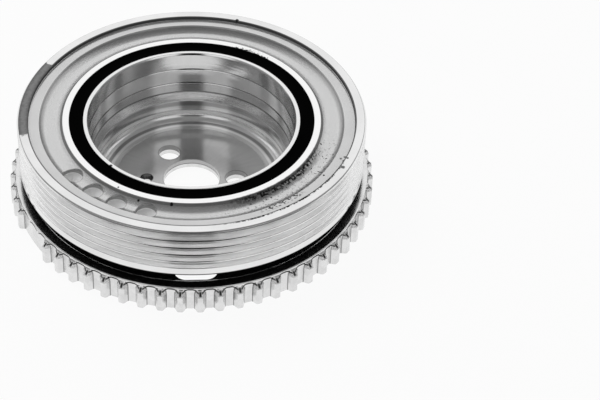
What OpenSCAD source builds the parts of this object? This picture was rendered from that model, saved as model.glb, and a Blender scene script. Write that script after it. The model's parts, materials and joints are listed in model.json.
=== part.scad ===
// Crankshaft vibration damper pulley with a toothed trigger wheel on its rear.
// Four pieces: a grooved inertia ring, a rubber ring, a pressed hub cup and a pressed trigger wheel.
// Millimetres. The axis is Z, the front face looks up, Z = 0 is the rear mounting face.

/* [Grooved ring] */
// Outer diameter over the two flanges
ring_d = 140; // [138:0.5:142]
// Height of the outer front band above the mounting face
face_h = 38.4; // [38:0.1:39.2]
// Axial width of the ring
ring_w = 22; // [21:0.1:23]
// Inner diameter, where the rubber sits
ring_bore_d = 98.4; // [97.4:0.2:99.4]
// Number of belt grooves
groove_count = 5; // [3:1:5]
// Groove pitch
groove_pitch = 3.56; // [3.3:0.02:3.66]
// Included angle of a groove
groove_angle = 40; // [36:1:44]
// Groove depth
groove_depth = 2.65; // [2.2:0.05:2.8]
// Width of the flat left on a ridge
ridge_flat = 0.7; // [0.5:0.05:0.9]
// Distance from the outer band to the middle of the first groove
groove_start = 2.6; // [2.5:0.05:3]
// Height of the stepped shoulder on the front corner
corner_step = 0.85; // [0.7:0.05:0.9]
// How far the shoulder stands in from the outer diameter
corner_in = 0.6; // [0.4:0.05:0.8]
// Bevel on the outer rear corner
rear_bevel = 0.6; // [0.3:0.05:1]
// Bevel on the rear edge of the bore for the rubber
rear_lead = 0.8; // [0.4:0.05:1.2]

/* [Front face] */
// Diameter where the outer band steps down to the inner band
band_d = 131; // [129:0.5:133]
// Height of that step
band_drop = 1.4; // [0.8:0.1:1.8]
// Diameter where the inner band ends at the recess
recess_d = 122.8; // [121:0.2:125]
// Depth of the dished recess below the inner band
recess_drop = 2; // [1.6:0.1:2.4]
// Outer diameter of the lip round the rubber
lip_d = 103.8; // [103:0.2:105]
// Height of the straight step on the outside of the lip
lip_step = 0.3; // [0.2:0.05:0.5]
// Share of the recess width that its curved inner side takes
recess_in_share = 0.47; // [0.4:0.01:0.5]
// Share of the recess width that its curved outer side takes
recess_out_share = 0.42; // [0.36:0.01:0.46]
// Diameter of a balance drilling
drill_d = 8; // [7:0.1:8.4]
// Diameter of the circle the balance drillings sit on
drill_circle_d = 114.6; // [113:0.2:114.8]
// Depth of the straight part of a balance drilling
drill_deep = 2; // [1:0.1:2.6]
// Depth of the drill point below it
drill_point = 2.4; // [1.6:0.1:3]

/* [Rubber] */
// How far the rubber sits back from the lip at its edges
rubber_back = 0.35; // [0.2:0.05:1]
// Dish of the rubber's end faces
rubber_dish = 0.3; // [0.1:0.05:0.6]
// How far the rubber stops short of the ring's rear face
rubber_rear_back = 0.4; // [0.2:0.05:0.8]

/* [Hub cup] */
// Outer diameter of the sleeve inside the rubber
sleeve_d = 87.2; // [86.4:0.2:88]
// Width of the sleeve's flat front edge
sleeve_edge = 1.5; // [1.2:0.1:1.6]
// How far the sleeve's edge sits back from the lip
sleeve_back = 0.2; // [0:0.05:0.6]
// Thickness of the hub sheet
hub_sheet = 2.4; // [2.1:0.1:2.6]
// Depth of the first drawn line in the inner wall below the lip
first_line = 8; // [7:0.2:9]
// Depth of the second drawn line in the inner wall below the lip
second_line = 15; // [14:0.2:16]
// Step of the inner wall at each drawn line
line_step = 0.3; // [0.2:0.05:0.35]
// Height over which the sleeve narrows to the cup
neck_h = 3; // [2.6:0.1:3.4]
// Outer diameter of the cup below the rubber
cup_d = 84; // [83.4:0.2:84.6]
// Outer radius of the cup's rounded corner
cup_corner = 8; // [7:0.2:8.6]
// Diameter of the shallow ring mark on the cup's floor
floor_mark_d = 63; // [61:0.5:65]
// Depth of that mark
floor_mark = 0.15; // [0.1:0.05:0.3]

/* [Mounting holes] */
// Diameter of the centre bore
bore_d = 23.2; // [22:0.1:24]
// Diameter of a bolt hole
bolt_d = 9; // [8.4:0.1:9.4]
// Number of bolt holes
bolt_count = 3; // [3:1:3]
// Bolt circle diameter
bolt_circle_d = 37; // [36.4:0.1:38]
// Diameter of the dowel hole in the hub
dowel_d = 5.2; // [4.8:0.1:5.6]
// Diameter of the smaller dowel hole in the trigger wheel
dowel_rear_d = 3.4; // [3:0.1:4]
// Bevel on the bore edges
bore_bevel = 0.3; // [0.2:0.05:0.4]

/* [Trigger wheel] */
// Thickness of the trigger wheel sheet
wheel_sheet = 2; // [1.8:0.1:2.2]
// Height of the disc's rear face above the mounting face
disc_h = 5.6; // [5:0.1:6]
// Free play round the hub's corner in the dished middle
nest_play = 0.1; // [0.05:0.05:0.2]
// Outer diameter of the rim between the teeth
rim_d = 144.2; // [143.4:0.2:145]
// Height of the rim's rear edge above the mounting face
rim_rear_h = 0.9; // [0.5:0.1:1.4]
// Height of the folded front edge above the mounting face
fold_h = 11.8; // [11.4:0.1:12.2]
// Outer rounding of the folded front edge
fold_round = 1; // [0.8:0.1:1.2]
// Inner rounding of the folded front edge
fold_in_round = 2; // [1.6:0.1:2.2]
// Outer radius of the bend from the disc to the folded edge
bend_round = 4.2; // [3.8:0.1:4.4]
// How far that bend stands in from the toothed wall
bend_inset = 0.7; // [0.5:0.1:0.9]

/* [Teeth] */
// Number of tooth places round the rim
tooth_places = 60; // [58:2:60]
// Height of a tooth above the rim
tooth_h = 2.25; // [1.8:0.05:2.5]
// Angle that a tooth takes at half its height, in degrees
tooth_w = 2.6; // [2.4:0.1:3]
// Angle that one flank takes, in degrees
flank_w = 1.3; // [1.1:0.1:1.6]
// Thickness of a flank, in degrees
flank_sheet = 0.45; // [0.35:0.05:0.55]
// Height over which the sloping front end of a tooth rises to the rim
tooth_slope = 2.2; // [1.8:0.1:2.6]
// Direction of the middle of the gap of two missing teeth
gap_dir = 209.6; // [180:0.2:240]

/* [Windows] */
// Number of windows
window_count = 6; // [4:1:6]
// Distance from the hub cup's wall to a window's inner edge
window_inset = 6.5; // [6:0.1:7.5]
// Distance from a window's outer edge to the bend round the disc
window_edge = 2; // [1.6:0.1:3]
// Width of a window
window_w = 16.9; // [15:0.1:18]
// Corner radius of a window
window_round = 4.8; // [4:0.1:6]
// Direction of the first window
window_dir = 31.65; // [30:0.05:33]

/* [Hidden] */
// Size of the broken edges on turned and pressed corners
edge = 0.2;
// Least straight edge left between the rounded corners of a window
least = 0.02;
// Extra length of a cutting shape beyond the surface it cuts
past = 1;

ring_r = ring_d / 2;
ring_bore_r = ring_bore_d / 2;
ring_rear = face_h - ring_w;
inner_h = face_h - band_drop;
floor_h = inner_h - recess_drop;
lip_r = lip_d / 2;
recess_r = recess_d / 2;
recess_w = recess_r - lip_r;
in_w = recess_in_share * recess_w;
out_w = recess_out_share * recess_w;
in_drop = recess_drop - lip_step;
band_r = band_d / 2;
shoulder_r = ring_r - corner_in;
ridge_r = ring_r - 0.75 * edge;
groove_open = groove_pitch - ridge_flat;
groove_bottom = groove_open - 2 * groove_depth * tan(groove_angle / 2);
first_groove = face_h - groove_start;
last_groove = first_groove - (groove_count - 1) * groove_pitch;
flange_gap = groove_open / 2 + edge / 4;
drill_dirs = [216.4, 228.5, 239.8, 252.4];

sleeve_r = sleeve_d / 2;
sleeve_top = inner_h - sleeve_back;
sleeve_in_r = sleeve_r - hub_sheet;
upper_wall_r = sleeve_in_r + 1.4 * line_step;
middle_wall_r = upper_wall_r - line_step;
lower_wall_r = middle_wall_r - line_step;
edge_slope = 0.7;
cup_r = cup_d / 2;
cup_in_r = cup_r - hub_sheet;
neck_bottom = ring_rear - neck_h;
floor_z = wheel_sheet + hub_sheet;
mark_z = floor_z - floor_mark;
corner_r = cup_r - cup_corner;
corner_z = wheel_sheet + cup_corner;
corner_facets = 8;
rubber_mid = (sleeve_r + ring_bore_r) / 2;
rubber_bottom = ring_rear + rubber_rear_back;
rubber_top = inner_h - rubber_back;

bore_r = bore_d / 2;
disc_front = disc_h + wheel_sheet;
dish_r = corner_r + nest_play;
dish_rear = cup_corner + wheel_sheet;
dish_facets = 5;
dish_end_a = asin((corner_z - disc_h + 0.3) / dish_rear);
dish_end_r = dish_r + dish_rear * cos(dish_end_a);
dish_lip_z = disc_front - 1;
dish_lip_r = dish_r + sqrt(pow(cup_corner, 2) - pow(corner_z - dish_lip_z, 2));
rim_r = rim_d / 2;
rim_in = rim_r - wheel_sheet;
bend_r = rim_in - bend_inset;
flat_r = bend_r - bend_round;
bend_z = disc_h + bend_round;
bend_a = 8;
fold_z = fold_h - fold_round;
fold_in_r = bend_r - wheel_sheet + fold_in_round;
fold_r = rim_r - edge / 2;
wall_top = fold_z;
hollow_top = wall_top - wheel_sheet;
slope_ratio = tooth_slope / tooth_h;
facets_per_tooth = 12;
facet_a = 360 / (tooth_places * facets_per_tooth);
window_in = cup_r + window_inset;
window_out = flat_r - window_edge;
window_mid = (window_in + window_out) / 2;
window_len = window_out - window_in;
window_fillet = min(window_round, window_len / 2 - least, window_w / 2 - least);
window_h = wheel_sheet + 2 * past;

// Points of an arc round [cr, cz] from angle a0 to a1 in n equal steps.
function arc(cr, cz, rad, a0, a1, n) =
  [for (k = [0:n]) [cr + rad * cos(a0 + (a1 - a0) * k / n), cz + rad * sin(a0 + (a1 - a0) * k / n)]];

// The four corners of one groove, taken from the front to the rear.
function groove(zc) = [
  [ridge_r, zc + groove_open / 2],
  [ring_r - groove_depth, zc + groove_bottom / 2],
  [ring_r - groove_depth, zc - groove_bottom / 2],
  [ridge_r, zc - groove_open / 2]
];

// Share of the tooth height at facet j round the rim: 0 in a valley, 1 on a tooth.
function wave(j, width) =
  (j < facets_per_tooth || j >= facets_per_tooth * (tooth_places - 1)) ? 0 :
  let (off = abs(j % facets_per_tooth - facets_per_tooth / 2) * facet_a)
  0.5 - 0.5 * sin(90 * max(-1, min(1, (off - width / 2) / (flank_w / 2))));

// One closed outline of the toothed rim.
function outline(base, rise, width) =
  [for (j = [0:facets_per_tooth * tooth_places - 1])
    let (r = base + rise * wave(j, width), a = gap_dir + j * facet_a)
    [r * cos(a), r * sin(a)]];

// Section of the inertia ring: front face, outer corner, grooves, rear corner and inner wall.
ring_section = concat(
  [
    [ring_bore_r, inner_h - 1.5 * edge],
    [ring_bore_r + 1.5 * edge, inner_h],
    [lip_r - 1.5 * edge, inner_h],
    [lip_r, inner_h - edge],
    for (t = [1:-0.125:0]) [lip_r + in_w * (1 - t), floor_h + in_drop * t * t],
    for (t = [0:0.125:1]) [recess_r - out_w * (1 - t), floor_h + recess_drop * t * t],
    [band_r - edge / 2, inner_h],
    [band_r, face_h - edge],
    [band_r + edge, face_h],
    [shoulder_r - edge, face_h],
    [shoulder_r, face_h - edge],
    [shoulder_r, face_h - corner_step + 2 * edge],
    [ring_r, face_h - corner_step],
    [ring_r, first_groove + flange_gap]
  ],
  [for (i = [0:groove_count - 1]) each groove(first_groove - i * groove_pitch)],
  [
    [ring_r, last_groove - flange_gap],
    [ring_r, ring_rear + rear_bevel],
    [ring_r - rear_bevel, ring_rear],
    [ring_bore_r + rear_lead, ring_rear],
    [ring_bore_r, ring_rear + rear_lead]
  ]
);

// Section of the hub cup: edge, stepped inner wall, inner corner, floor, outer corner, neck, sleeve.
hub_section = concat(
  [
    [sleeve_r, sleeve_top - edge],
    [sleeve_r - edge, sleeve_top],
    [sleeve_r - sleeve_edge, sleeve_top],
    [upper_wall_r, sleeve_top - edge_slope],
    [upper_wall_r, inner_h - first_line],
    [middle_wall_r, inner_h - first_line - line_step],
    [middle_wall_r, inner_h - second_line],
    [lower_wall_r, inner_h - second_line - line_step],
    [lower_wall_r, ring_rear + 4 * edge],
    [cup_in_r + edge, neck_bottom + 2 * edge],
    [cup_in_r, neck_bottom - 2 * edge]
  ],
  arc(corner_r, corner_z, cup_corner - hub_sheet, 0, -90, corner_facets),
  [
    [floor_mark_d / 2 + floor_mark, floor_z],
    [floor_mark_d / 2, mark_z],
    [bore_r + bore_bevel, mark_z],
    [bore_r, mark_z - bore_bevel],
    [bore_r, wheel_sheet + bore_bevel / 2],
    [bore_r + bore_bevel / 2, wheel_sheet]
  ],
  arc(corner_r, corner_z, cup_corner, -90, 0, corner_facets),
  [
    [cup_r, neck_bottom],
    [cup_r + edge, neck_bottom + 4 * edge],
    [sleeve_r - edge, ring_rear],
    [sleeve_r, ring_rear + 2 * edge]
  ]
);

// Section of the trigger wheel without its toothed wall: boss, disc, bend and folded front edge.
wheel_section = concat(
  [
    [bore_r, bore_bevel],
    [bore_r + bore_bevel, 0]
  ],
  arc(dish_r, corner_z, dish_rear, -90, -dish_end_a, corner_facets),
  [
    [dish_end_r + edge, disc_h - edge / 2],
    [dish_end_r + 4 * edge, disc_h]
  ],
  arc(flat_r, bend_z, bend_round, -90, -bend_a, 6),
  [
    [rim_in, wall_top - past],
    [fold_r, wall_top - past]
  ],
  arc(fold_r - fold_round, fold_z, fold_round, 0, 90, 5),
  arc(fold_in_r, fold_h - fold_in_round, fold_in_round, 90, 180, 5),
  arc(flat_r, bend_z, bend_round - wheel_sheet, -bend_a, -90, 4),
  [
    [dish_lip_r + 6 * edge, disc_front],
    [dish_lip_r + 2 * edge, disc_front - 2 * edge],
    [dish_lip_r, dish_lip_z]
  ],
  arc(dish_r, corner_z, cup_corner, -90 + dish_facets * 90 / corner_facets, -90, dish_facets),
  [[bore_r, wheel_sheet]]
);

// Bolt and dowel holes, cut through both sheets at the same places.
module mount_holes(pin_d) {
  for (i = [0:bolt_count - 1])
    rotate([0, 0, i * 360 / bolt_count])
      translate([bolt_circle_d / 2, 0, -past])
        cylinder(h = floor_z + 2 * past, d = bolt_d, $fn = 48);
  translate([-bolt_circle_d / 2, 0, -past])
    cylinder(h = floor_z + 2 * past, d = pin_d, $fn = 32);
}

// One balance drilling with its drill point.
module balance_drilling(dir) {
  rotate([0, 0, dir])
    translate([drill_circle_d / 2, 0, floor_h - drill_deep])
      rotate_extrude($fn = 48)
        polygon([
          [0, -drill_point],
          [drill_d / 2, 0],
          [drill_d / 2, drill_deep + recess_drop + past],
          [0, drill_deep + recess_drop + past]
        ]);
}

// One window through the disc, with rounded corners.
module window(dir) {
  rotate([0, 0, dir])
    translate([window_mid, 0, disc_h - past]) {
      translate([-window_len / 2 + window_fillet, -window_w / 2, 0])
        cube([window_len - 2 * window_fillet, window_w, window_h]);
      translate([-window_len / 2, -window_w / 2 + window_fillet, 0])
        cube([window_len, window_w - 2 * window_fillet, window_h]);
      for (sx = [-1, 1])
        for (sy = [-1, 1])
          translate([sx * (window_len / 2 - window_fillet), sy * (window_w / 2 - window_fillet), 0])
            cylinder(h = window_h, r = window_fillet, $fn = 40);
    }
}

// Toothed wall of the trigger wheel: teeth pressed outward, each closed by a sloping front shoulder.
module toothed_wall() {
  difference() {
    intersection() {
      translate([0, 0, rim_rear_h])
        linear_extrude(height = fold_h - rim_rear_h)
          polygon(outline(rim_r, tooth_h, tooth_w));
      rotate_extrude($fn = 180)
        polygon([
          [rim_in - edge, rim_rear_h - past],
          [rim_r + tooth_h + past, rim_rear_h - past],
          [rim_r + tooth_h + past, wall_top - slope_ratio * (tooth_h + past)],
          [rim_r - 2 * edge, wall_top + slope_ratio * 2 * edge],
          [rim_in - edge, wall_top + slope_ratio * 2 * edge]
        ]);
    }
    intersection() {
      translate([0, 0, rim_rear_h - past])
        linear_extrude(height = wall_top)
          polygon(outline(rim_in, tooth_h, tooth_w - 2 * flank_sheet));
      rotate_extrude($fn = 180)
        polygon([
          [rim_in - past, rim_rear_h - 2 * past],
          [rim_in + tooth_h + past, rim_rear_h - 2 * past],
          [rim_in + tooth_h + past, hollow_top - slope_ratio * (tooth_h + past)],
          [rim_in - 2 * edge, hollow_top + slope_ratio * 2 * edge],
          [rim_in - past, hollow_top + slope_ratio * 2 * edge]
        ]);
    }
  }
}

module pulley_ring() {
  color([0.82, 0.83, 0.84])
    difference() {
      rotate_extrude($fn = 240)
        polygon(ring_section);
      for (dir = drill_dirs)
        balance_drilling(dir);
    }
}

module rubber_ring() {
  color([0.03, 0.03, 0.03])
    rotate_extrude($fn = 180)
      polygon([
        [sleeve_r, rubber_bottom],
        [rubber_mid, rubber_bottom + rubber_dish],
        [ring_bore_r, ring_rear + rear_lead],
        [ring_bore_r, rubber_top],
        [rubber_mid, rubber_top - rubber_dish],
        [sleeve_r, rubber_top]
      ]);
}

module hub() {
  color([0.74, 0.75, 0.76])
    difference() {
      rotate_extrude($fn = 180)
        polygon(hub_section);
      mount_holes(dowel_d);
    }
}

module trigger_wheel() {
  color([0.86, 0.86, 0.87])
    difference() {
      union() {
        rotate_extrude($fn = 240)
          polygon(wheel_section);
        toothed_wall();
      }
      mount_holes(dowel_rear_d);
      for (i = [0:window_count - 1])
        window(window_dir + i * 360 / window_count);
    }
}

pulley_ring();
rubber_ring();
hub();
trigger_wheel();
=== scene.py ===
"""Looks of a crankshaft damper pulley: turned ring, rubber ring, drawn hub cup and pressed trigger wheel."""
import json
import math

import bmesh
import bpy
from mathutils import Matrix, Vector


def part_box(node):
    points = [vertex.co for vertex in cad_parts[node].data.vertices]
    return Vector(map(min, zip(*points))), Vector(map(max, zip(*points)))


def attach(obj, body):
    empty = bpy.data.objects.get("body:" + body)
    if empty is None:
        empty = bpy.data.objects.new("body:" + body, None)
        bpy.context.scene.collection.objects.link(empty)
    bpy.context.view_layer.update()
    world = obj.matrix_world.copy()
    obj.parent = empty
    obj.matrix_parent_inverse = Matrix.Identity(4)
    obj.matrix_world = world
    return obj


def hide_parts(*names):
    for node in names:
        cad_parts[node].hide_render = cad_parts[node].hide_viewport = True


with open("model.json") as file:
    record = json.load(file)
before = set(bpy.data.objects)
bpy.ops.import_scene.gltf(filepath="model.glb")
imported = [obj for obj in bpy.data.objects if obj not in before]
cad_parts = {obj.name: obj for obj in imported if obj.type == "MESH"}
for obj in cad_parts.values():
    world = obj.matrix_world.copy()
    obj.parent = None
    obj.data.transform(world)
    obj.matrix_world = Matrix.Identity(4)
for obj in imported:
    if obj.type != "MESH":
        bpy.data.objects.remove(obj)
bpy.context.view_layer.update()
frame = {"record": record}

MM = 0.001

# Sizes in millimetres and degrees: the first group comes from the frame, the others are the object's own
ring_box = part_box("pulley_ring")
rubber_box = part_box("rubber_ring")
hub_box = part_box("hub")
wheel_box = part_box("trigger_wheel")
mounts = {m["name"]: m for m in frame["record"]["mounts"]}

ring_r = ring_box[1].x / MM
face_h = ring_box[1].z / MM
ring_rear = ring_box[0].z / MM
ring_bore_r = rubber_box[1].x / MM
sleeve_r = hub_box[1].x / MM
sleeve_top = hub_box[1].z / MM
wheel_sheet = hub_box[0].z / MM
fold_h = wheel_box[1].z / MM
bore_r = mounts["centre_bore"]["dims"]["r_mm"]
bolt_r = mounts["bolts"]["dims"]["hole_r_mm"]
bolt_circle_r = mounts["bolts"]["dims"]["pcd_mm"] / 2
bolt_count = mounts["bolts"]["dims"]["count"]
pin_rear_r = mounts["dowel_hole"]["dims"]["r_mm"]

# Ring
band_drop = 1.4
band_r = 65.5
lip_r = 51.9
recess_r = 61.4
recess_drop = 2
lip_step = 0.3
recess_in_share = 0.47
recess_out_share = 0.42
groove_count = 5
groove_pitch = 3.56
groove_depth = 2.65
ridge_flat = 0.7
ridge_round = 0.22
valley_round = 0.2
groove_start = 2.6
half_groove_angle = math.radians(20)
corner_step = 0.85
corner_in = 0.6
bore_bevel = 0.8
drill_dirs = (216.4, 228.5, 239.8, 252.4)
drill_r = 4
drill_circle_r = 57.3
drill_deep = 2
drill_point = 2.4

# Hub
hub_sheet = 2.4
sleeve_edge = 1.5
line_step = 0.3
first_line = 8
second_line = 15
cup_r = 42
cup_corner = 8
pin_dir = 180
pin_hub_r = 2.6
floor_mark_r = 31.5
floor_mark = 0.15

# Wheel
nest_play = 0.1
dish_r = 42.9
disc_h = 5.6
rim_r = 72.1
rim_rear_h = 0.9
bend_inset = 0.7
fold_w = 2.2
tooth_h = 2.25
tooth_places = 60
tooth_w = 2.6
flank_w = 1.3
gap_dir = 209.6
window_count = 6
window_in = 48.5
window_out = 63.2
window_w = 16.9
window_round = 4.8
window_dir = 31.65

# Sizes that follow from these
inner_h = face_h - band_drop
floor_h = inner_h - recess_drop
drill_h = floor_h - drill_deep
floor_z = wheel_sheet + hub_sheet
cup_in_r = cup_r - hub_sheet
corner_r = cup_r - cup_corner
first_line_h = inner_h - first_line
second_line_h = inner_h - second_line
disc_front = disc_h + wheel_sheet
rim_in = rim_r - wheel_sheet
tooth_pitch = 360 / tooth_places
bolt_dirs = [360 * i / bolt_count for i in range(bolt_count)]

# Fineness of the meshes: steps round the axis, in a hole, in a tooth and in a curve
ring_steps = 300
hub_steps = 240
bolt_steps = 48
pin_steps = 32
tooth_steps = 16
window_steps = 8
recess_steps = 12

# How far a cutter reaches past the sheet, and the radius that closes the tip of a drill
past = 1
tip_r = 0.01


# Meshes

def rounded(corners, steps=4):
    """Turns corners (radius, height, fillet, and push if any) into a closed outline with arcs."""
    longest_share = 0.48
    nearly_flat = math.radians(178)
    points = []
    for i, corner in enumerate(corners):
        here = Vector(corner[:2])
        push = corner[3] if len(corner) > 3 else 0
        sides = [Vector(corners[i - 1][:2]) - here, Vector(corners[(i + 1) % len(corners)][:2]) - here]
        opening = sides[0].angle(sides[1])
        if corner[2] <= 0 or opening > nearly_flat:
            points.append((here.x, here.y, push))
            continue
        cut_off = min(corner[2] / math.tan(opening / 2), longest_share * min(side.length for side in sides))
        start, end = (here + side.normalized() * cut_off for side in sides)
        for k in range(steps + 1):
            t = k / steps
            p = start * (1 - t) ** 2 + here * 2 * t * (1 - t) + end * t * t
            points.append((p.x, p.y, push))
    return points


def place(name, data):
    """A new object in the scene."""
    obj = bpy.data.objects.new(name, data)
    bpy.context.scene.collection.objects.link(obj)
    return obj


def outward(obj):
    """Turns every face of a closed mesh outward."""
    work = bmesh.new()
    work.from_mesh(obj.data)
    bmesh.ops.recalc_face_normals(work, faces=work.faces)
    work.to_mesh(obj.data)
    work.free()


def lathe(name, outline, angles, push=None):
    """A closed ring of quads: the outline turned about the axis, with its push times push(angle) added."""
    mesh = bpy.data.meshes.new(name)
    verts = []
    for a in angles:
        swell = push(a) if push else 0
        c, s = math.cos(math.radians(a)), math.sin(math.radians(a))
        for r, z, share in outline:
            out = (r + share * swell) * MM
            verts.append((out * c, out * s, z * MM))
    n, m = len(outline), len(angles)
    faces = []
    for i in range(m):
        here, there = i * n, (i + 1) % m * n
        for k in range(n):
            j = (k + 1) % n
            faces.append((here + k, here + j, there + j, there + k))
    mesh.from_pydata(verts, [], faces)
    obj = place(name, mesh)
    outward(obj)
    return obj


def turned_angles(count):
    return [360 * i / count for i in range(count)]


def prism(name, outline, low, high):
    """A straight block over a closed outline of (x, y) points, from low to high."""
    mesh = bpy.data.meshes.new(name)
    n = len(outline)
    verts = [(x * MM, y * MM, z * MM) for z in (low, high) for x, y in outline]
    sides = [(k, (k + 1) % n, n + (k + 1) % n, n + k) for k in range(n)]
    mesh.from_pydata(verts, [], [tuple(range(n))[::-1], tuple(range(n, 2 * n)), *sides])
    obj = place(name, mesh)
    outward(obj)
    return obj


def circle(radius, count, x):
    """Points of a circle round a centre on the X axis."""
    step = math.tau / count
    return [(x + radius * math.cos(k * step), radius * math.sin(k * step)) for k in range(count)]


def spin(obj, degrees):
    obj.data.transform(Matrix.Rotation(math.radians(degrees), 4, "Z"))
    return obj


def hole_cutters(pin_r, low, high):
    """Straight cutters for the bolt holes and the dowel hole."""
    holes = [(bolt_r, bolt_steps, direction) for direction in bolt_dirs] + [(pin_r, pin_steps, pin_dir)]
    return [spin(prism("hole", circle(r, count, bolt_circle_r), low, high), d) for r, count, d in holes]


def cut(obj, cutters):
    """Cuts the closed cutters out of obj and removes them."""
    work = bmesh.new()
    for c in cutters:
        work.from_mesh(c.data)
        bpy.data.objects.remove(c)
    tool_mesh = bpy.data.meshes.new("cutter")
    work.to_mesh(tool_mesh)
    work.free()
    tool = place("cutter", tool_mesh)
    modifier = obj.modifiers.new("cut", "BOOLEAN")
    modifier.object = tool
    modifier.solver = "EXACT"
    bpy.context.view_layer.update()
    shape = obj.evaluated_get(bpy.context.evaluated_depsgraph_get())
    mesh = bpy.data.meshes.new_from_object(shape)
    obj.modifiers.clear()
    obj.data = mesh
    bpy.data.objects.remove(tool)


def finish_piece(obj, node, material):
    """Smooth shading with flat faces kept flat, the piece attached to the root body with the node's part
    hidden, and its material.
    """
    sharp_angle = math.radians(32)
    for p in obj.data.polygons:
        p.use_smooth = True
    obj.data.set_sharp_from_angle(angle=sharp_angle)
    weighted = obj.modifiers.new("weighted_normals", "WEIGHTED_NORMAL")
    weighted.keep_sharp = True
    weighted.weight = 90
    obj.data.materials.clear()
    obj.data.materials.append(material)
    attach(obj, "root")
    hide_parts(node)


# Shader building

def grey(level):
    return (level, level, level)


white = grey(1.0)


class Shader:
    """Adds nodes to a material or a world. A value is a number, a colour or a node's output."""

    def __init__(self, owner):
        owner.use_nodes = True
        self.owner = owner
        self.tree = owner.node_tree
        self.out = self.tree.nodes.get("Principled BSDF")

    def add(self, kind, **settings):
        node = self.tree.nodes.new("ShaderNode" + kind)
        for key, value in settings.items():
            setattr(node, key, value)
        return node

    def put(self, socket, value):
        if isinstance(value, bpy.types.NodeSocket):
            self.tree.links.new(value, socket)
        elif isinstance(value, (tuple, list)) and len(value) == 3 and len(socket.default_value) == 4:
            socket.default_value = (*value, 1)
        else:
            socket.default_value = value

    def math(self, operation, *values):
        node = self.add("Math", operation=operation)
        for socket, value in zip(node.inputs, values):
            self.put(socket, value)
        return node.outputs[0]

    def chain(self, operation, values):
        """One operation over several values, from the first to the last."""
        result = values[0]
        for value in values[1:]:
            result = self.math(operation, result, value)
        return result

    def both(self, *values):
        """The product of several masks."""
        return self.chain("MULTIPLY", values)

    def total(self, *values):
        return self.chain("ADD", values)

    def most(self, *values):
        """The largest of several masks."""
        return self.chain("MAXIMUM", values)

    def less(self, value):
        """What is left outside a mask."""
        return self.math("SUBTRACT", 1.0, value)

    def step(self, value, low, high, to_low=0.0, to_high=1.0):
        """Rises smoothly from to_low at low to to_high at high."""
        node = self.add("MapRange", interpolation_type="SMOOTHSTEP")
        for socket, v in zip(node.inputs[:5], (value, low, high, to_low, to_high)):
            self.put(socket, v)
        return node.outputs[0]

    def fall(self, value, low, high):
        """Falls smoothly from 1 at low to 0 at high."""
        return self.step(value, low, high, 1.0, 0.0)

    def band(self, value, low, high, soft):
        """1 between low and high, 0 outside, with soft edges."""
        rise = self.step(value, low - soft, low + soft)
        return self.both(rise, self.fall(value, high - soft, high + soft))

    def vector(self, *values):
        node = self.add("CombineXYZ")
        for socket, value in zip(node.inputs, values):
            self.put(socket, value)
        return node.outputs[0]

    def scaled(self, *pairs):
        """A vector of values, each times its factor."""
        return self.vector(*(self.both(value, factor) for value, factor in pairs))

    def noise(self, vector, scale=1.0, detail=2.0, roughness=0.5):
        node = self.add("TexNoise")
        settings = {"Vector": vector, "Scale": scale, "Detail": detail, "Roughness": roughness}
        for key, value in settings.items():
            self.put(node.inputs[key], value)
        return node.outputs["Fac"]

    def wavy(self, value, scale, reach):
        """The value moved up and down by noise, by up to half the reach."""
        off = self.math("SUBTRACT", self.noise(self.point, scale, 3), 0.5)
        return self.total(value, self.both(off, reach))

    def mix(self, share, low, high):
        """Blends two colours."""
        node = self.add("Mix", data_type="RGBA")
        self.put(node.inputs[0], share)
        self.put(node.inputs[6], low)
        self.put(node.inputs[7], high)
        return node.outputs[2]

    def layered(self, colour, *layers):
        """Lays colours over a colour, one after the other, each given as (mask, colour)."""
        for mask, over in layers:
            colour = self.mix(mask, colour, over)
        return colour

    def bump(self, height, distance_mm, base=None):
        node = self.add("Bump")
        self.put(node.inputs["Height"], height)
        self.put(node.inputs["Strength"], 1.0)
        self.put(node.inputs["Distance"], distance_mm * MM)
        if base is not None:
            self.put(node.inputs["Normal"], base)
        return node.outputs["Normal"]

    def turned_tangent(self):
        return self.add("Tangent", direction_type="RADIAL", axis="Z").outputs[0]

    def direction(self, x, y):
        """Direction of a place round the axis in degrees."""
        return self.both(self.math("ARCTAN2", y, x), 180 / math.pi)

    def off_front(self, x, y):
        """Degrees away from the front of the stage, the same to the left and to the right."""
        return self.direction(self.both(y, -1.0), self.math("ABSOLUTE", x))

    def places(self):
        """Position, radius and height in millimetres, and the direction round the axis in degrees."""
        point = self.add("VectorMath", operation="SCALE")
        self.put(point.inputs[0], self.add("TexCoord").outputs["Object"])
        self.put(point.inputs["Scale"], 1 / MM)
        parts = self.add("SeparateXYZ")
        self.put(parts.inputs[0], point.outputs[0])
        x, y, z = parts.outputs
        self.point = point.outputs[0]
        self.x, self.y, self.height = x, y, z
        self.radius = self.math("SQRT", self.total(self.both(x, x), self.both(y, y)))
        self.turn = self.math("FLOORED_MODULO", self.direction(x, y), 360.0)

    def around(self, middle, half, soft):
        """1 within half degrees of the direction middle, 0 elsewhere, with soft ends."""
        turned = self.math("FLOORED_MODULO", self.math("SUBTRACT", self.turn, middle - 180), 360.0)
        off = self.math("ABSOLUTE", self.math("SUBTRACT", turned, 180.0))
        return self.fall(off, half - soft, half + soft)

    def to(self, azimuth, radius):
        """Distance along the face, in millimetres, from the point at this direction and radius."""
        a = math.radians(azimuth)
        gap = self.add("VectorMath", operation="DISTANCE")
        self.put(gap.inputs[0], self.vector(self.x, self.y, 0.0))
        self.put(gap.inputs[1], (radius * math.cos(a), radius * math.sin(a), 0.0))
        return gap.outputs["Value"]

    def nearest(self, azimuths, radius):
        """Distance to the nearest of several points on a circle."""
        return self.chain("MINIMUM", [self.to(azimuth, radius) for azimuth in azimuths])

    def speck(self, azimuth, radius, size):
        """A ragged fleck of the given size in millimetres."""
        ragged = self.both(self.noise(self.point, 2.5, 2), size)
        return self.fall(self.total(self.to(azimuth, radius), ragged), size * 1.15, size * 1.4)

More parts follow.
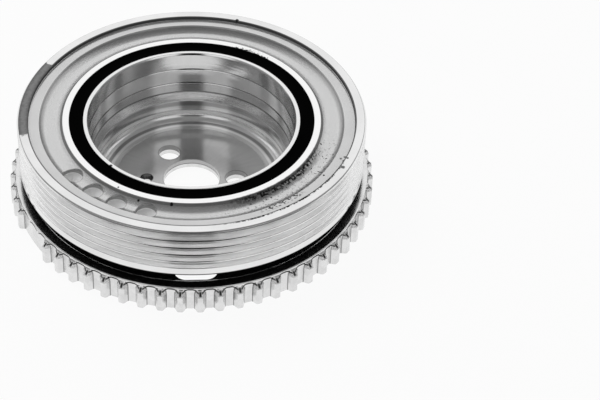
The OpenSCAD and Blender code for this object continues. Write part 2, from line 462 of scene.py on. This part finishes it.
    def set(self, **sockets):
        for key, value in sockets.items():
            self.put(self.out.inputs[key.replace("_", " ")], value)

    def blend(self, share, low, high):
        """Sends a blend of two shaders to the material's surface."""
        node = self.add("MixShader")
        for socket, value in zip(node.inputs, (share, low, high)):
            self.put(socket, value)
        self.put(self.tree.nodes["Material Output"].inputs["Surface"], node.outputs[0])


# Materials

# Dark flecks and scratches of the ring, each as direction, radius and size
flecks = (
    (66, 52.1, 0.5), (50.5, 52.3, 0.5), (47.5, 52.6, 0.5), (325, 62.3, 0.5), (314.6, 60.3, 0.5),
    (311, 60.8, 0.5), (343, 53.4, 0.5), (72.9, 66.2, 0.9), (236.7, 51.1, 0.5), (247.6, 53.1, 0.6),
    (248.4, 59, 0.5), (252.5, 54, 0.6), (261.7, 52.4, 0.8),
)
scratches = ((336, 63.7, 0.7), (335.3, 65.3, 0.8), (337.3, 64.9, 0.7), (335.9, 66.5, 0.7), (330.9, 67, 1.1))

# Directions between which the front band carries a paint mark
mark_start = 151
mark_end = 191.4


def ring_material():
    """Plated turned steel: cast grain in the recess, grime, a paint mark, scratches and rough drillings, a
    near-black rear, painted shade in the creases, on the recess's slopes and on the drilling walls, and
    paler grooves as painted highlight.
    """
    s = Shader(bpy.data.materials.new("plated_turned_steel"))
    s.places()
    turn, radius, height = s.turn, s.radius, s.height
    rings = s.noise(s.scaled((radius, 2.2), (height, 2.2), (turn, 0.01)), 1, 3)
    grain = s.noise(s.point, 3.2, 3, 0.6)
    cloud = s.noise(s.point, 0.08, 2)
    spots = s.noise(s.point, 1.0, 2, 0.6)

    # Zones of the front face, the grooves and the rear
    top = s.step(height, floor_h - 0.6, floor_h - 0.2)
    on_band = s.step(height, face_h - 0.5, face_h - 0.3)
    recess = s.both(s.band(radius, lip_r + 0.1, recess_r - 0.1, 0.1), top)
    inner_band = s.both(s.band(radius, recess_r, band_r, 0.2), top)
    inner_face = s.both(s.band(radius, recess_r, band_r - 0.3, 0.1), top)
    lip = s.both(s.fall(radius, lip_r, lip_r + 0.1), top)
    dull = s.both(s.most(recess, inner_band), 0.5)
    grooves = s.both(
        s.fall(radius, ring_r - 0.3, ring_r - 0.15),
        s.step(radius, ring_r - groove_depth - 0.3, ring_r - groove_depth),
        s.band(height, ring_rear + 2, face_h - 1.2, 0.1))
    rear = s.fall(height, ring_rear + 0.55, ring_rear + 0.95)

    # Painted shade in the creases and on the slopes of the recess, the same all the way round
    outer_slope_shade = s.both(
        top, 0.41, s.step(radius, recess_r - 2.6, recess_r - 1.1),
        s.fall(radius, recess_r - 0.7, recess_r - 0.05))
    inner_slope_shade = s.both(
        top, 0.3, s.step(radius, lip_r, lip_r + 0.1), s.fall(radius, lip_r + 0.7, lip_r + 2.6))
    lip_foot_shade = s.both(top, 0.6, s.band(radius, lip_r - 0.05, lip_r + 0.95, 0.08))
    recess_edge_shade = s.both(top, 0.27, s.band(radius, recess_r - 0.9, recess_r - 0.1, 0.15))
    step_wall_shade = s.both(
        s.step(height, inner_h, inner_h + 0.2), 0.9, s.band(radius, band_r - 0.2, band_r + 0.15, 0.05))
    step_edge_shade = s.both(on_band, 0.8, s.band(radius, band_r - 0.1, band_r + 0.6, 0.08))
    corner_z = face_h - corner_step
    corner_edge_shade = s.both(
        s.step(height, corner_z + 0.25, corner_z + 0.35), 0.45,
        s.band(radius, ring_r - corner_in - 0.2, ring_r - corner_in + 0.1, 0.05))
    creases = s.most(lip_foot_shade, recess_edge_shade, step_wall_shade, step_edge_shade, corner_edge_shade)

    # Paint mark with brush streaks, darker at its edges
    mark = s.both(
        s.band(s.wavy(turn, 0.9, 3), mark_start, mark_end, 0.3),
        s.band(radius, band_r + 0.1, ring_r - 0.3, 0.12), on_band)
    streaks = s.noise(s.scaled((radius, 0.7), (turn, 0.8)), 1, 4, 0.7)
    middle = s.band(radius, band_r + 0.9, ring_r - 1.6, 0.7)
    tone = s.both(s.total(s.both(middle, 0.35), 0.65), s.step(streaks, 0.3, 0.7, 0.75, 1.15))

    # Film, dots, torn rubber flash, single flecks and scratches
    film = s.both(s.band(s.wavy(radius, 0.5, 2), lip_r + 0.2, lip_r + 3.4, 0.7), s.around(312, 24, 9), top)
    film_dots = s.both(film, s.step(spots, 0.44, 0.54), s.band(radius, lip_r + 0.1, lip_r + 2.3, 0.5))
    recess_dots = s.both(
        s.step(spots, 0.60, 0.66), s.around(315, 28, 12), s.band(radius, lip_r + 0.2, recess_r + 0.2, 0.3))
    cluster = s.both(
        s.step(spots, 0.50, 0.58), s.around(304, 8, 3), s.band(radius, recess_r - 0.8, recess_r + 1.8, 0.4))
    step_dots = s.both(
        s.step(spots, 0.48, 0.54), s.around(307, 24, 8), s.band(radius, band_r - 0.5, band_r + 1.0, 0.1))
    torn = s.both(s.step(s.noise(s.point, 1.1, 3, 0.7), 0.45, 0.75, 0.0, 2.4), s.around(59, 9, 5))
    flash = s.both(
        s.fall(s.math("SUBTRACT", radius, torn), ring_bore_r + 0.05, ring_bore_r + 0.15),
        s.step(height, inner_h - 0.8, inner_h - 0.6))
    specks = [s.speck(*fleck) for fleck in flecks]
    # Flecks and film of grime, and the ring near its rear face coloured near black
    dirt_and_dark_rear = s.most(s.both(s.most(film_dots, recess_dots, cluster, step_dots, flash, *specks), top), rear)
    scratched = s.both(s.most(*(s.speck(*scratch) for scratch in scratches)), top)

    # Balance drillings: pale and rough, with painted shade on their walls
    off_drill = s.nearest(drill_dirs, drill_circle_r)
    drilled = s.both(
        s.fall(off_drill, drill_r, drill_r + 0.15), s.fall(height, floor_h - 0.4, floor_h + 0.1))
    drill_wall_shade = s.both(
        s.band(off_drill, drill_r - 0.08, drill_r + 0.2, 0.04),
        s.step(height, drill_h + 0.3, drill_h + 0.6), s.fall(height, inner_h - 0.1, inner_h))

    cast = s.mix(s.step(grain, 0.3, 0.7), grey(0.62), grey(0.90))
    streaked = s.noise(s.scaled((turn, 0.10), (height, 1.1), (radius, 0.4)), 1, 4, 0.6)
    colour = s.layered(
        s.mix(s.step(cloud, 0.3, 0.7), grey(0.77), grey(0.83)),
        (recess, cast),
        (dull, s.mix(grain, grey(0.40), grey(0.64))),
        (lip, grey(0.92)),
        # Painted shade on the recess's outer slope
        (outer_slope_shade, grey(0.03)),
        (s.both(film, 0.75), grey(0.20)),
        # Painted shade on the recess's inner slope
        (inner_slope_shade, grey(0.06)),
        # Painted highlight: the grooves made paler and less metallic, in streaks
        (s.both(grooves, s.step(streaked, 0.35, 0.65)), white),
        (s.both(grooves, 0.4), white),
        # Painted shade: the creases made near black
        (creases, grey(0.002)),
        (drilled, white),
        # Painted shade on the walls of the drillings
        (drill_wall_shade, grey(0.34)),
        (mark, s.mix(tone, grey(0.0), grey(0.24))),
        (scratched, grey(0.25)),
        (dirt_and_dark_rear, grey(0.012)))
    turned = s.total(s.both(rings, 0.06), 0.025, s.both(recess, 0.10), s.both(inner_band, 0.12))
    # Wear, grime, the dark rear and the painted crease shade are rougher
    wear_and_shade = s.most(mark, dirt_and_dark_rear, scratched, creases)
    rough = s.most(turned, s.both(drilled, 0.45), s.both(wear_and_shade, 0.6))
    metal = s.less(s.most(
        mark, dirt_and_dark_rear, creases, s.both(dull, 0.45), s.both(inner_face, 0.36), s.both(drilled, 0.92),
        s.both(grooves, 0.4)))
    shine = s.both(s.less(s.most(dirt_and_dark_rear, creases)), 0.5)
    relief = s.bump(s.both(grain, recess), 0.06, base=s.bump(rings, 0.004))
    s.set(Base_Color=colour, Metallic=metal, Roughness=rough, Specular_IOR_Level=shine, Normal=relief)
    return s.owner


def rubber_material():
    """Matt black rubber with faint wiping marks."""
    s = Shader(bpy.data.materials.new("moulded_rubber"))
    s.places()
    skin = s.noise(s.point, 2.5, 4, 0.6)
    wipe = s.noise(s.scaled((s.radius, 1.5), (s.turn, 0.15)), 1, 3)
    colour = s.mix(wipe, grey(0.0001), grey(0.001))
    rough = s.step(wipe, 0.35, 0.7, 0.40, 0.60)
    s.set(Base_Color=colour, Roughness=rough, Specular_IOR_Level=0.005, Normal=s.bump(skin, 0.05))
    return s.owner


def hub_material():
    """Drawn steel: draw streaks, turned hoops, painted shade at the fine steps, on the upper wall and round
    the bore, painted reflections in the cup and a scribed ring on the floor.
    """
    s = Shader(bpy.data.materials.new("drawn_steel"))
    s.places()
    turn, radius, height = s.turn, s.radius, s.height
    draw = s.noise(s.scaled((turn, 0.35), (height, 0.05), (radius, 0.05)), 1, 4, 0.6)
    hoops = s.noise(s.scaled((height, 0.9), (radius, 0.7), (turn, 0.01)), 1, 3)
    grain = s.noise(s.point, 2.5, 3)

    # Zones of the cup from the sleeve's edge down
    inside = s.fall(height, sleeve_top - 0.5, sleeve_top - 0.2)
    wall = s.both(inside, s.step(radius, cup_in_r - 2.1, cup_in_r - 1.1))
    # Painted shade on the upper wall and a painted highlight on the middle of the wall
    upper_wall_shade = s.both(inside, s.step(height, first_line_h - 0.1, first_line_h + 0.2))
    middle_wall_highlight = s.both(wall, s.band(height, second_line_h + 0.2, first_line_h - 0.4, 0.3))
    corner = s.both(
        s.band(radius, floor_mark_r + 0.3, cup_in_r - 0.3, 0.5),
        s.fall(height, floor_z + 2.1, floor_z + 3.6))
    low = s.fall(height, floor_z + 1.6, floor_z + 2.6)
    floor = s.both(s.fall(height, floor_z + 0.2, floor_z + 1.2), s.fall(radius, corner_r, corner_r + 3))

    # Painted reflection rings in the rounded corner, and painted shade on the wall's steps and round the
    # bore
    foot_reflection_ring = s.both(
        s.band(radius, corner_r - 0.8, corner_r + 0.5, 0.3), s.fall(height, floor_z + 1.8, floor_z + 2.6))
    upper_reflection_ring = s.both(
        inside, s.step(radius, corner_r + 1.5, corner_r + 2),
        s.band(height, floor_z + 2.1, floor_z + 3.8, 0.35))
    pale_reflection_rings = s.most(s.both(foot_reflection_ring, 0.8), upper_reflection_ring)
    dark_reflection_ring = s.both(
        s.band(radius, corner_r + 0.7, corner_r + 2.3, 0.3), s.fall(height, floor_z + 1.6, floor_z + 2.2))
    step_line_shade = s.both(wall, 0.75, s.most(
        s.band(height, first_line_h - 0.25, first_line_h + 0.1, 0.08),
        s.band(height, second_line_h - 0.25, second_line_h + 0.15, 0.08),
        s.band(height, ring_rear + 0.5, ring_rear + 1.2, 0.15),
        s.both(s.band(height, ring_rear - 5.8, ring_rear - 3.6, 0.3), 0.5)))
    bore_shade = s.both(s.band(radius, bore_r - 0.6, bore_r + 8.4, 3), low, 0.225)

    # Scribed ring, a nick in the sleeve's edge, the edges of the holes and the seam in the bore
    scribed = s.both(
        s.band(radius, floor_mark_r - 0.25, floor_mark_r + 0.25, 0.1), s.step(grain, 0.48, 0.56), low)
    nick = s.speck(223.5, sleeve_r - 0.3, 0.8)
    bolt_edge = s.both(
        s.band(s.nearest(bolt_dirs, bolt_circle_r), bolt_r - 0.1, bolt_r + 0.35, 0.1),
        s.fall(height, floor_z - 0.2, floor_z + 0.1), 0.6)
    pin_edge = s.both(s.fall(s.to(pin_dir, bolt_circle_r), pin_hub_r, pin_hub_r + 0.3), inside, 0.9)
    seam = s.both(
        s.fall(height, wheel_sheet + 0.15, wheel_sheet + 0.35), s.fall(radius, bore_r + 0.3, bore_r + 0.5))

    colour = s.layered(
        s.mix(inside, grey(0.82), s.mix(draw, grey(0.66), grey(0.84))),
        (floor, s.mix(draw, grey(0.52), grey(0.66))),
        (corner, grey(0.80)),
        # Painted shade on the wall's steps and round the bore
        (step_line_shade, grey(0.12)),
        (bore_shade, grey(0.10)),
        # Painted shade on the upper wall, painted highlight on its middle
        (s.both(upper_wall_shade, 0.6), grey(0.55)),
        (s.both(middle_wall_highlight, 0.4), white),
        # Painted reflections: a dark ring and pale rings in the rounded corner
        (s.both(dark_reflection_ring, 0.75), grey(0.16)),
        (s.both(pale_reflection_rings, 0.95), white),
        (s.both(scribed, 0.5), white),
        (s.most(s.both(scribed, 0.35), seam, nick, bolt_edge, pin_edge), grey(0.05)))
    rough = s.total(s.both(hoops, 0.12), 0.07)
    dull_floor = s.both(
        s.fall(height, floor_z + 0.2, floor_z + 0.8),
        s.step(radius, bore_r + 2.4, floor_mark_r - 3.5, 0.3, 0.55))
    dull = s.most(
        dull_floor, s.both(corner, 0.4), s.both(middle_wall_highlight, 0.3), s.both(pale_reflection_rings, 0.85),
        s.both(scribed, 0.5))
    relief = s.bump(grain, 0.004, base=s.bump(hoops, 0.02))
    s.set(
        Base_Color=colour, Metallic=s.less(dull), Roughness=rough, Normal=relief, Anisotropic=0.3,
        Tangent=s.turned_tangent())
    return s.owner


def wheel_material():
    """Plated pressed steel: painted highlights on the tooth ends and painted shade in the creases of the
    teeth.
    """
    s = Shader(bpy.data.materials.new("plated_pressed_steel"))
    s.places()
    radius, height = s.radius, s.height
    cloud = s.noise(s.point, 0.25, 3)
    grain = s.noise(s.point, 3.0, 3)
    in_place = s.math("FLOORED_MODULO", s.math("SUBTRACT", s.turn, gap_dir), tooth_pitch)
    off_tooth = s.math("ABSOLUTE", s.math("SUBTRACT", in_place, tooth_pitch / 2))
    # Painted highlight: the front ends of the teeth pale and less metallic
    tooth_end_highlight = s.both(s.step(height, fold_h - 3.4, fold_h - 3.0), s.step(radius, rim_r + 0.15, rim_r + 0.5))
    # Painted shade in the notches, at the feet of the flanks and over the panels
    notch_shade = s.both(
        s.fall(off_tooth, 0.22, 0.5), s.band(height, fold_h - 2.9, fold_h - 1.5, 0.25),
        s.step(radius, rim_r + 0.1, rim_r + 0.3))
    flank_foot_shade = s.both(
        s.band(radius, rim_r + 0.08, rim_r + 0.4, 0.05), s.fall(height, fold_h - 2.0, fold_h - 1.6),
        s.step(height, rim_rear_h + 0.1, rim_rear_h + 0.4))
    over_arch = s.math("SUBTRACT", height, s.step(off_tooth, 0.3, 2.4, fold_h - 1.9, fold_h - 0.8))
    panel_top_shade = s.both(
        s.step(radius, rim_r - 0.25, rim_r - 0.15), s.band(over_arch, -0.28, 0.28, 0.08),
        s.step(off_tooth, 0.3, 0.6))
    colour = s.layered(
        s.mix(s.step(cloud, 0.3, 0.7), grey(0.70), grey(0.80)),
        # Painted highlight on the tooth ends
        (tooth_end_highlight, white),
        # Painted shade in the creases of the teeth
        (s.most(notch_shade, s.both(flank_foot_shade, 0.65), s.both(panel_top_shade, 0.95)), grey(0.02)))
    rough = s.most(s.total(s.both(cloud, 0.12), 0.15), s.both(tooth_end_highlight, 0.5))
    metal = s.less(s.both(tooth_end_highlight, 0.95))
    s.set(Base_Color=colour, Metallic=metal, Roughness=rough, Normal=s.bump(grain, 0.008))
    return s.owner


# Pieces

def ring_corners():
    """Section of the ring: bore, lip, curved recess, step, flanges and grooves."""
    in_w = recess_in_share * (recess_r - lip_r)
    out_w = recess_out_share * (recess_r - lip_r)
    in_drop = recess_drop - lip_step
    shares = [k / recess_steps for k in range(recess_steps + 1)]
    corners = [
        (ring_bore_r, ring_rear + bore_bevel, 0.2), (ring_bore_r, inner_h, 0.3), (lip_r, inner_h, 0.15),
    ]
    corners += [(lip_r + in_w * t, floor_h + in_drop * (1 - t) ** 2, 0) for t in shares]
    corners += [(recess_r - out_w * (1 - t), floor_h + recess_drop * t ** 2, 0) for t in shares[:-1]]
    corners += [
        (recess_r, inner_h, 0.1), (band_r - 0.05, inner_h, 0.15), (band_r + 0.1, face_h, 0.2),
        (ring_r - corner_in, face_h, 0.2), (ring_r - corner_in, face_h - corner_step + 0.15, 0.1),
        (ring_r, face_h - corner_step, 0.15),
    ]
    half_open = (groove_pitch - ridge_flat) / 2
    half_bottom = half_open - groove_depth * math.tan(half_groove_angle)
    valley_r = ring_r - groove_depth
    for i in range(groove_count):
        z = face_h - groove_start - i * groove_pitch
        corners += [
            (ring_r, z + half_open, ridge_round), (valley_r, z + half_bottom, valley_round),
            (valley_r, z - half_bottom, valley_round), (ring_r, z - half_open, ridge_round),
        ]
    return corners + [(ring_r, ring_rear, 0.6), (ring_bore_r + bore_bevel, ring_rear, 0.1)]


def make_ring():
    """Turned inertia ring with its balance drillings."""
    ring = lathe("inertia_ring", rounded(ring_corners(), 3), turned_angles(ring_steps))
    high = inner_h + past
    bit = [(tip_r, drill_h - drill_point, 0), (drill_r, drill_h, 0), (drill_r, high, 0), (tip_r, high, 0)]
    drills = []
    for direction in drill_dirs:
        drill = lathe("drill", bit, turned_angles(bolt_steps))
        drill.data.transform(Matrix.Translation((drill_circle_r * MM, 0, 0)))
        drills.append(spin(drill, direction))
    cut(ring, drills)
    finish_piece(ring, "pulley_ring", ring_material())


def make_rubber():
    """Rubber ring with slightly dished ends."""
    low, high = rubber_box[0].z / MM, rubber_box[1].z / MM
    middle = (sleeve_r + ring_bore_r) / 2
    edge_w, edge_drop = 0.8, 0.22
    corners = [
        (sleeve_r, low, 0), (middle, low + 0.3, 2), (ring_bore_r, low + 0.4, 0),
        (ring_bore_r, high, 0.2), (ring_bore_r - edge_w, high - edge_drop, 0.4), (middle, high - 0.32, 2),
        (sleeve_r + edge_w, high - edge_drop, 0.4), (sleeve_r, high, 0.2),
    ]
    rubber = lathe("rubber_insert", rounded(corners), turned_angles(hub_steps))
    finish_piece(rubber, "rubber_ring", rubber_material())


def make_hub():
    """Deep drawn cup: sleeve, stepped wall, rounded corner and floor with its holes."""
    upper_r = sleeve_r - hub_sheet + 1.4 * line_step
    middle_r = upper_r - line_step
    lower_r = middle_r - line_step
    mark_z = floor_z - floor_mark
    corners = [
        (sleeve_r, ring_rear + 0.1, 1), (sleeve_r, sleeve_top, 0.25),
        (sleeve_r - sleeve_edge, sleeve_top, 0.3),
        (upper_r, sleeve_top - 0.7, 0.3), (upper_r, first_line_h, 0.3), (middle_r, first_line_h - 0.4, 0.3),
        (middle_r, second_line_h, 0.3), (lower_r, second_line_h - 0.4, 0.3), (lower_r, ring_rear + 0.9, 1.5),
        (cup_in_r, ring_rear - 3.2, 1.5), (cup_in_r, floor_z, cup_corner - hub_sheet),
        (floor_mark_r + 0.15, floor_z, 0.1), (floor_mark_r, mark_z, 0.1),
        (bore_r, mark_z, 0.25), (bore_r, wheel_sheet, 0.12),
        (cup_r, wheel_sheet, cup_corner), (cup_r, ring_rear - 3, 1.5),
    ]
    hub = lathe("drawn_cup", rounded(corners, 8), turned_angles(hub_steps))
    cut(hub, hole_cutters(pin_hub_r, wheel_sheet - past, floor_z + past))
    finish_piece(hub, "hub", hub_material())


def tooth_swell(angle):
    """How far the rim stands out at this angle: 0 in a valley, the tooth height on a tooth."""
    place_angle = (angle - gap_dir) % 360
    if place_angle < tooth_pitch or place_angle > 360 - tooth_pitch:
        return 0
    off = abs(place_angle % tooth_pitch - tooth_pitch / 2)
    share = max(-1, min(1, (off - tooth_w / 2) / (flank_w / 2)))
    return tooth_h * (0.5 - 0.5 * math.sin(share * math.pi / 2))


def window_outline():
    """One window as a closed outline on the +X side."""
    x0, x1, half = window_in + window_round, window_out - window_round, window_w / 2 - window_round
    points = []
    for cx, cy, start in ((x1, half, 0), (x0, half, 90), (x0, -half, 180), (x1, -half, 270)):
        for k in range(window_steps + 1):
            a = math.radians(start + 90 * k / window_steps)
            points.append((cx + window_round * math.cos(a), cy + window_round * math.sin(a)))
    return points


def wheel_corners():
    """Section of the wheel: boss, disc, folded front edge and toothed rim."""
    dish_foot_r = corner_r + nest_play + 5.2
    dish_in_r = dish_r - 3.1
    bend_r = rim_in - bend_inset
    fold_in_r = bend_r - fold_w
    edge_r = rim_r - 0.1
    rear_side = [(bore_r, 0, 0.3), (dish_foot_r, 0, 5), (dish_r, disc_h, 3.2), (bend_r, disc_h, 3.8)]
    inside_rim = [
        (bend_r, fold_h - 2.4, 0.4), (rim_in, fold_h - 2.9, 0.6), (rim_in, fold_h - 4.4, 1, 0.5),
        (rim_in, fold_h - 5.2, 0.6, 1), (rim_in, rim_rear_h, 0.2, 1),
    ]
    outside_rim = [
        (rim_r, rim_rear_h, 0.3, 1), (rim_r, fold_h - 3.2, 0.8, 1), (rim_r, fold_h - 2.2, 0.1, 0.55),
        (rim_r, fold_h - 1, 0.03, 0), (edge_r, fold_h - 0.9, 0.02), (edge_r, fold_h, 0.9),
    ]
    front_side = [
        (fold_in_r, fold_h, 1.6), (fold_in_r, disc_front, 2.2), (dish_r - 0.5, disc_front, 1),
        (dish_r - 1.4, disc_front - 1.4, 1), (dish_in_r, wheel_sheet, 5), (bore_r, wheel_sheet, 0.1),
    ]
    return rear_side + inside_rim + outside_rim + front_side


def make_wheel():
    """Pressed wheel with its teeth, windows and holes."""
    angles = [gap_dir + a for a in turned_angles(tooth_places * tooth_steps)]
    wheel = lathe("pressed_wheel", rounded(wheel_corners()), angles, tooth_swell)
    cutters = hole_cutters(pin_rear_r, -past, wheel_sheet + past)
    for i in range(window_count):
        window = prism("window", window_outline(), disc_h - past, disc_front + past)
        cutters.append(spin(window, window_dir + i * 360 / window_count))
    cut(wheel, cutters)
    finish_piece(wheel, "trigger_wheel", wheel_material())


# Stage

def plane(name, x0, x1, y0, y1, z):
    """A flat rectangle, in metres."""
    mesh = bpy.data.meshes.new(name)
    mesh.from_pydata([(x0, y0, z), (x1, y0, z), (x1, y1, z), (x0, y1, z)], [], [(0, 1, 2, 3)])
    return place(name, mesh)


def make_floor():
    """Pale floor that the camera and reflections see as nearly white."""
    size = 3.0
    shown_share = 0.93
    floor = plane("floor", -size, size, -size, size, 0)
    s = Shader(bpy.data.materials.new("pale_floor"))
    s.set(Base_Color=grey(0.86), Roughness=0.9, Specular_IOR_Level=0.1)
    glow = s.add("Emission")
    s.put(glow.inputs["Color"], white)
    s.put(glow.inputs["Strength"], 1.0)
    path = s.add("LightPath").outputs
    seen = s.most(path["Is Camera Ray"], path["Is Glossy Ray"], path["Is Transmission Ray"])
    s.blend(s.both(seen, shown_share), s.out.outputs[0], glow.outputs[0])
    floor.data.materials.append(s.owner)


def make_card():
    """A dark card on the floor in front of the object, seen only in reflections."""
    near, far, half_w, lift = -0.084, -0.9, 0.7, 0.0002
    card = plane("dark_card", -half_w, half_w, far, near, lift)
    s = Shader(bpy.data.materials.new("card"))
    s.places()
    s.set(Base_Color=grey(0.01), Roughness=0.9, Specular_IOR_Level=0.0)
    side = s.off_front(s.x, s.y)
    across = s.most(s.both(s.fall(side, 37, 42), 0.93), s.fall(side, 17, 21))
    clear = s.add("BsdfTransparent")
    s.blend(s.both(across, s.fall(s.y, -96.5, -90.5)), clear.outputs[0], s.out.outputs[0])
    card.data.materials.append(s.owner)
    card.visible_camera = False
    card.visible_diffuse = False
    card.visible_shadow = False


def make_world():
    """A white tent, darker overhead, at the horizon and at its sides, with a dark opening at the front."""
    world = bpy.data.worlds.new("studio")
    bpy.context.scene.world = world
    s = Shader(world)
    parts = s.add("SeparateXYZ")
    s.put(parts.inputs[0], s.add("TexCoord").outputs["Generated"])
    x, y, z = parts.outputs
    side = s.off_front(x, y)
    low = s.fall(z, 0.77, 0.92)
    opening = s.both(s.fall(side, 11, 17), low)
    grey_sides = s.both(s.band(side, 45, 108, 4), low, 0.7)
    ceiling = s.step(z, 0.78, 0.89, 1.0, 0.2)
    horizon = s.step(z, 0.03, 0.24, 0.2, 1.0)
    level = s.both(s.less(opening), s.less(grey_sides), ceiling, horizon)
    path = s.add("LightPath").outputs
    tent = s.tree.nodes["Background"]
    s.put(tent.inputs["Color"], white)
    s.put(tent.inputs["Strength"], s.most(level, path["Is Camera Ray"]))


def make_lamp():
    """A soft lamp high on the left that leaves no reflection."""
    data = bpy.data.lights.new("softbox", "AREA")
    data.shape = "DISK"
    data.size = 0.6
    data.energy = 3
    lamp = place("softbox", data)
    lamp.location = (-0.5, 0.3, 0.9)
    lamp.rotation_euler = Vector(lamp.location).to_track_quat("Z", "Y").to_euler()
    lamp.visible_glossy = False


def make_camera():
    """The photograph's own view: its height, distance and framing."""
    photo_w, photo_h = 600, 400
    axis_x, axis_y = 191.6, 116.34
    focal_px = 1798.9
    data = bpy.data.cameras.new("camera")
    data.sensor_fit = "HORIZONTAL"
    data.sensor_width = 36
    data.lens = focal_px / photo_w * data.sensor_width
    data.shift_x = (photo_w / 2 - axis_x) / photo_w
    data.shift_y = (axis_y - photo_h / 2) / photo_w
    data.clip_start = 0.01
    camera = place("camera", data)
    camera.location = (0, -0.558, 0.4954)
    camera.rotation_euler = (math.radians(50.6), 0, 0)
    bpy.context.scene.camera = camera


make_camera()
make_world()
make_lamp()
make_floor()
make_card()
make_ring()
make_rubber()
make_hub()
make_wheel()
bpy.context.scene.view_settings.view_transform = "Standard"
